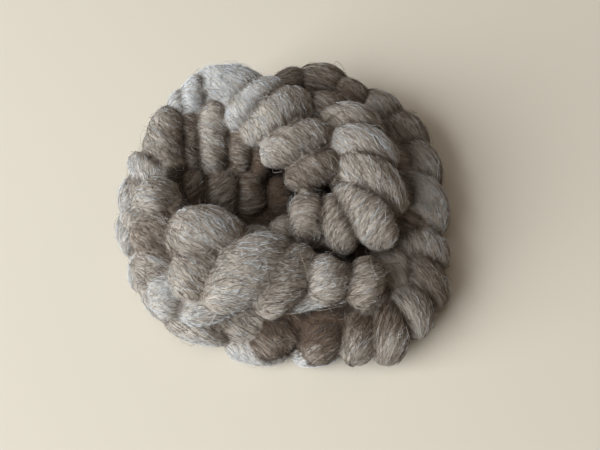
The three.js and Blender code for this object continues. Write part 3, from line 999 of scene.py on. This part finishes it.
class OBJECT_OT_wool_fibres(bpy.types.Operator):
    """The combed fibres that lie on the skin, a piece for each part of the nest"""

    bl_idname = "object.wool_fibres"
    bl_label = "Combed fibres"
    LONG = 2.2  # length of a long fibre against a short one
    STRAYS = 0.12  # share of the fibres that stray from the comb
    # Fibres for each patch of the same size, by part of the nest
    DENSITY = {
        "near_band": 1.3,
        "far_crest": 1.3,
        "hollow_and_right": 1.3,
        "lower_front": 1.1,
        "lower_back": 1.1,
        "flanks": 0.45,
    }

    def execute(self, context):
        sizes = context.scene.wool_sizes
        materials = fibre_shades(context.scene.wool_colours)
        folds = Folds()
        chance = np.random.default_rng(7)
        length = sizes.fibre_length / MM
        which, *laid = self.lay(folds, sizes, chance, sizes.fibres, length, rings=3)
        parts = np.array(folds.parts)[which]
        for name in sorted(set(parts)):
            mine = parts == name
            fibre_mesh(f"fibres_{name}", *(values[mine] for values in laid), materials)
        _, *laid = self.lay(folds, sizes, chance, sizes.long_fibres, length * self.LONG, rings=5)
        fibre_mesh("long_fibres", *laid, materials)
        self.between(folds, sizes, chance, materials)
        return {"FINISHED"}

    @classmethod
    def lay(cls, folds, sizes, chance, count, length, rings):
        """Fibres on the folds: the fold each is on, its path, outward directions, radii and shade."""
        density = np.array([cls.DENSITY[part] for part in folds.parts])
        which, reach, angle = seeds(folds, count, chance, 0.8, density)
        count = len(which)
        across, run = folds.strand(which, reach, angle)
        sway = 0.22 * drift(across / 6 + which * 5.3, run / 15, 31)
        lie = folds.comb[which] + sway + chance.normal(0, 0.2, count)
        stray = chance.uniform(0, 1, count) < cls.STRAYS
        lie = lie + stray * chance.normal(0, 0.6, count)
        length = length * chance.uniform(0.6, 1.35, count)
        paths, outs = trace(folds, which, reach, angle, lie, length, rings)
        filled = folds.bridge(folds.point(which, reach, angle), which, sizes.crease_depth)
        lift = folds.relief(which, reach, angle, sizes.wisp_height / MM) + np.maximum(filled, 0)
        lift = lift - 0.3 * folds.wisp(which, reach, angle)
        lift = lift + chance.uniform(0.05, 0.4, count) + stray * 0.3
        bow = 0.15 - 0.6 * np.linspace(-1, 1, rings) ** 2 + chance.normal(0, 0.12, (count, rings))
        paths = paths + outs * (lift[:, None] + bow)[..., None]
        beside = unit(np.cross(outs, np.gradient(paths, axis=1)))
        paths = paths + beside * chance.normal(0, sizes.crimp / MM, (count, rings, 1))
        radii = sizes.fibre_radius / MM * chance.uniform(0.55, 1.3, count)
        radii = np.repeat(radii[:, None], rings - 2, axis=1)
        return which, paths, outs, radii, pick_shades(folds, which, reach, angle, chance, 0)

    @staticmethod
    def between(folds, sizes, chance, materials):
        """Short dark fibres over the core where it shows between the folds, dark as painted shade of
        those recesses.
        """
        mesh = bpy.data.objects["wool_skin"].data
        centres = read(mesh.polygons, "center", 3) / MM
        normals = read(mesh.polygons, "normal", 3)
        _, depth = folds.nearest(centres)
        bare = np.flatnonzero((depth > 1.07) & (centres[:, 2] > 6) & (normals[:, 2] > -0.3))
        count = min(sizes.gap_fibres, len(bare))
        picked = chance.choice(bare, count, replace=False)
        start = centres[picked] + chance.normal(0, 0.5, (count, 3))
        out = normals[picked]
        lie = chance.normal(0, 0.5, out.shape) + np.array([0.3, 1, 0.4])
        level = unit(np.cross(out, lie))
        share = np.array([-0.5, -0.17, 0.17, 0.5])
        length = chance.uniform(4, 9, count)
        lift = chance.uniform(0.1, 0.7, count)[:, None] - 2.4 * share**2
        paths = start[:, None] + level[:, None] * (share * length[:, None])[..., None]
        paths = paths + out[:, None] * lift[..., None] + chance.normal(0, 0.25, (count, 4, 3))
        radii = np.outer(chance.uniform(0.1, 0.2, count), [1, 0.8])
        # Painted shade: mostly the darkest shades, for the shade in the recesses between the folds
        shades = np.clip(np.round(chance.normal(3.6, 0.7, count)), 0, 4).astype(int)
        fibre_mesh("fibres_between", paths, out[:, None], radii, shades, materials)


class OBJECT_OT_wool_fuzz(bpy.types.Operator):
    """Short fuzz that stands off the wool, and long loose curls over its creases"""

    bl_idname = "object.wool_fuzz"
    bl_label = "Fuzz and curls"

    def execute(self, context):
        sizes = context.scene.wool_sizes
        materials = fibre_shades(context.scene.wool_colours)
        folds = Folds()
        chance = np.random.default_rng(19)
        self.fuzz(folds, sizes.fuzz, chance, materials)
        self.curls(folds, sizes.curls, chance, materials)
        return {"FINISHED"}

    @staticmethod
    def fuzz(folds, count, chance, materials):
        """Fibres rooted in the skin, each rising further towards its free end."""
        which, reach, angle = seeds(folds, count, chance, 1.5)
        count = len(which)
        lie = folds.comb[which] + chance.normal(0, 0.7, count)
        base, outs = trace(folds, which, reach, angle, lie, chance.uniform(2, 7, count), 4)
        rise = np.outer(np.minimum(chance.gamma(1.8, 0.75, count), 2.7), [-0.3, 0.6, 1.2, 1.6])
        paths = base + outs * rise[..., None] + chance.normal(0, 0.35, base.shape)
        radii = np.outer(chance.uniform(0.05, 0.09, count), [1, 0.75])
        shades = pick_shades(folds, which, reach, angle, chance, -0.6)
        fibre_mesh("fuzz", paths, outs, radii, shades, materials)

    @staticmethod
    def curls(folds, count, chance, materials):
        """Arcs of even bend that hover over the skin, with their ends near it."""
        which, reach, angle = seeds(folds, count, chance, 3)
        count = len(which)
        rings = 9
        start = folds.point(which, reach, angle)
        _, outs = trace(folds, which, reach, angle, folds.comb[which], np.full(count, 1.0), 3)
        out = outs[:, 1]
        level = unit(np.cross(out, chance.normal(0, 1, out.shape)))
        beside = np.cross(out, level)
        length = chance.uniform(9, 26, count)
        bend = chance.normal(0, 1.1, count)
        share = np.linspace(-0.5, 0.5, rings)
        sweep = bend[:, None] * share * 2
        forward = np.cumsum(np.cos(sweep), axis=1) - np.cos(sweep).sum(axis=1, keepdims=True) / 2
        aside = np.cumsum(np.sin(sweep), axis=1) - np.sin(sweep).sum(axis=1, keepdims=True) / 2
        scale = (length / rings)[:, None]
        hover = chance.uniform(0.4, 1.8, count)[:, None] - 3.2 * share**2
        paths = (
            start[:, None]
            + level[:, None] * (forward * scale)[..., None]
            + beside[:, None] * (aside * scale)[..., None]
            + out[:, None] * hover[..., None]
        )
        paths += chance.normal(0, 0.15, paths.shape)
        radii = np.repeat(chance.uniform(0.08, 0.14, count)[:, None], rings - 2, axis=1)
        shades = pick_shades(folds, which, reach, angle, chance, 0.3)
        fibre_mesh("curls", paths, out[:, None], radii, shades, materials)


class VIEW3D_PT_wool(bpy.types.Panel):
    """Lists the steps that make the coiled wool top"""

    bl_label = "Coiled wool top"
    bl_space_type = "VIEW_3D"
    bl_region_type = "UI"
    bl_category = "Wool"

    def draw(self, context):
        layout = self.layout
        for step in STEPS:
            layout.operator(step.bl_idname)
        for group in (context.scene.wool_sizes, context.scene.wool_colours):
            box = layout.box()
            for name in group.__annotations__:
                box.prop(group, name)


STEPS = (OBJECT_OT_wool_stage, OBJECT_OT_wool_skin, OBJECT_OT_wool_fibres, OBJECT_OT_wool_fuzz)
GROUPS = (WoolSizes, WoolColours)


def register():
    for made in (*GROUPS, *STEPS, VIEW3D_PT_wool):
        bpy.utils.register_class(made)
    bpy.types.Scene.wool_sizes = bpy.props.PointerProperty(type=WoolSizes)
    bpy.types.Scene.wool_colours = bpy.props.PointerProperty(type=WoolColours)


def unregister():
    del bpy.types.Scene.wool_colours
    del bpy.types.Scene.wool_sizes
    for made in (VIEW3D_PT_wool, *reversed(STEPS), *reversed(GROUPS)):
        bpy.utils.unregister_class(made)


def main():
    register()
    bpy.ops.object.wool_stage()
    bpy.ops.object.wool_skin()
    bpy.ops.object.wool_fibres()
    bpy.ops.object.wool_fuzz()


if __name__ == "__main__":
    main()
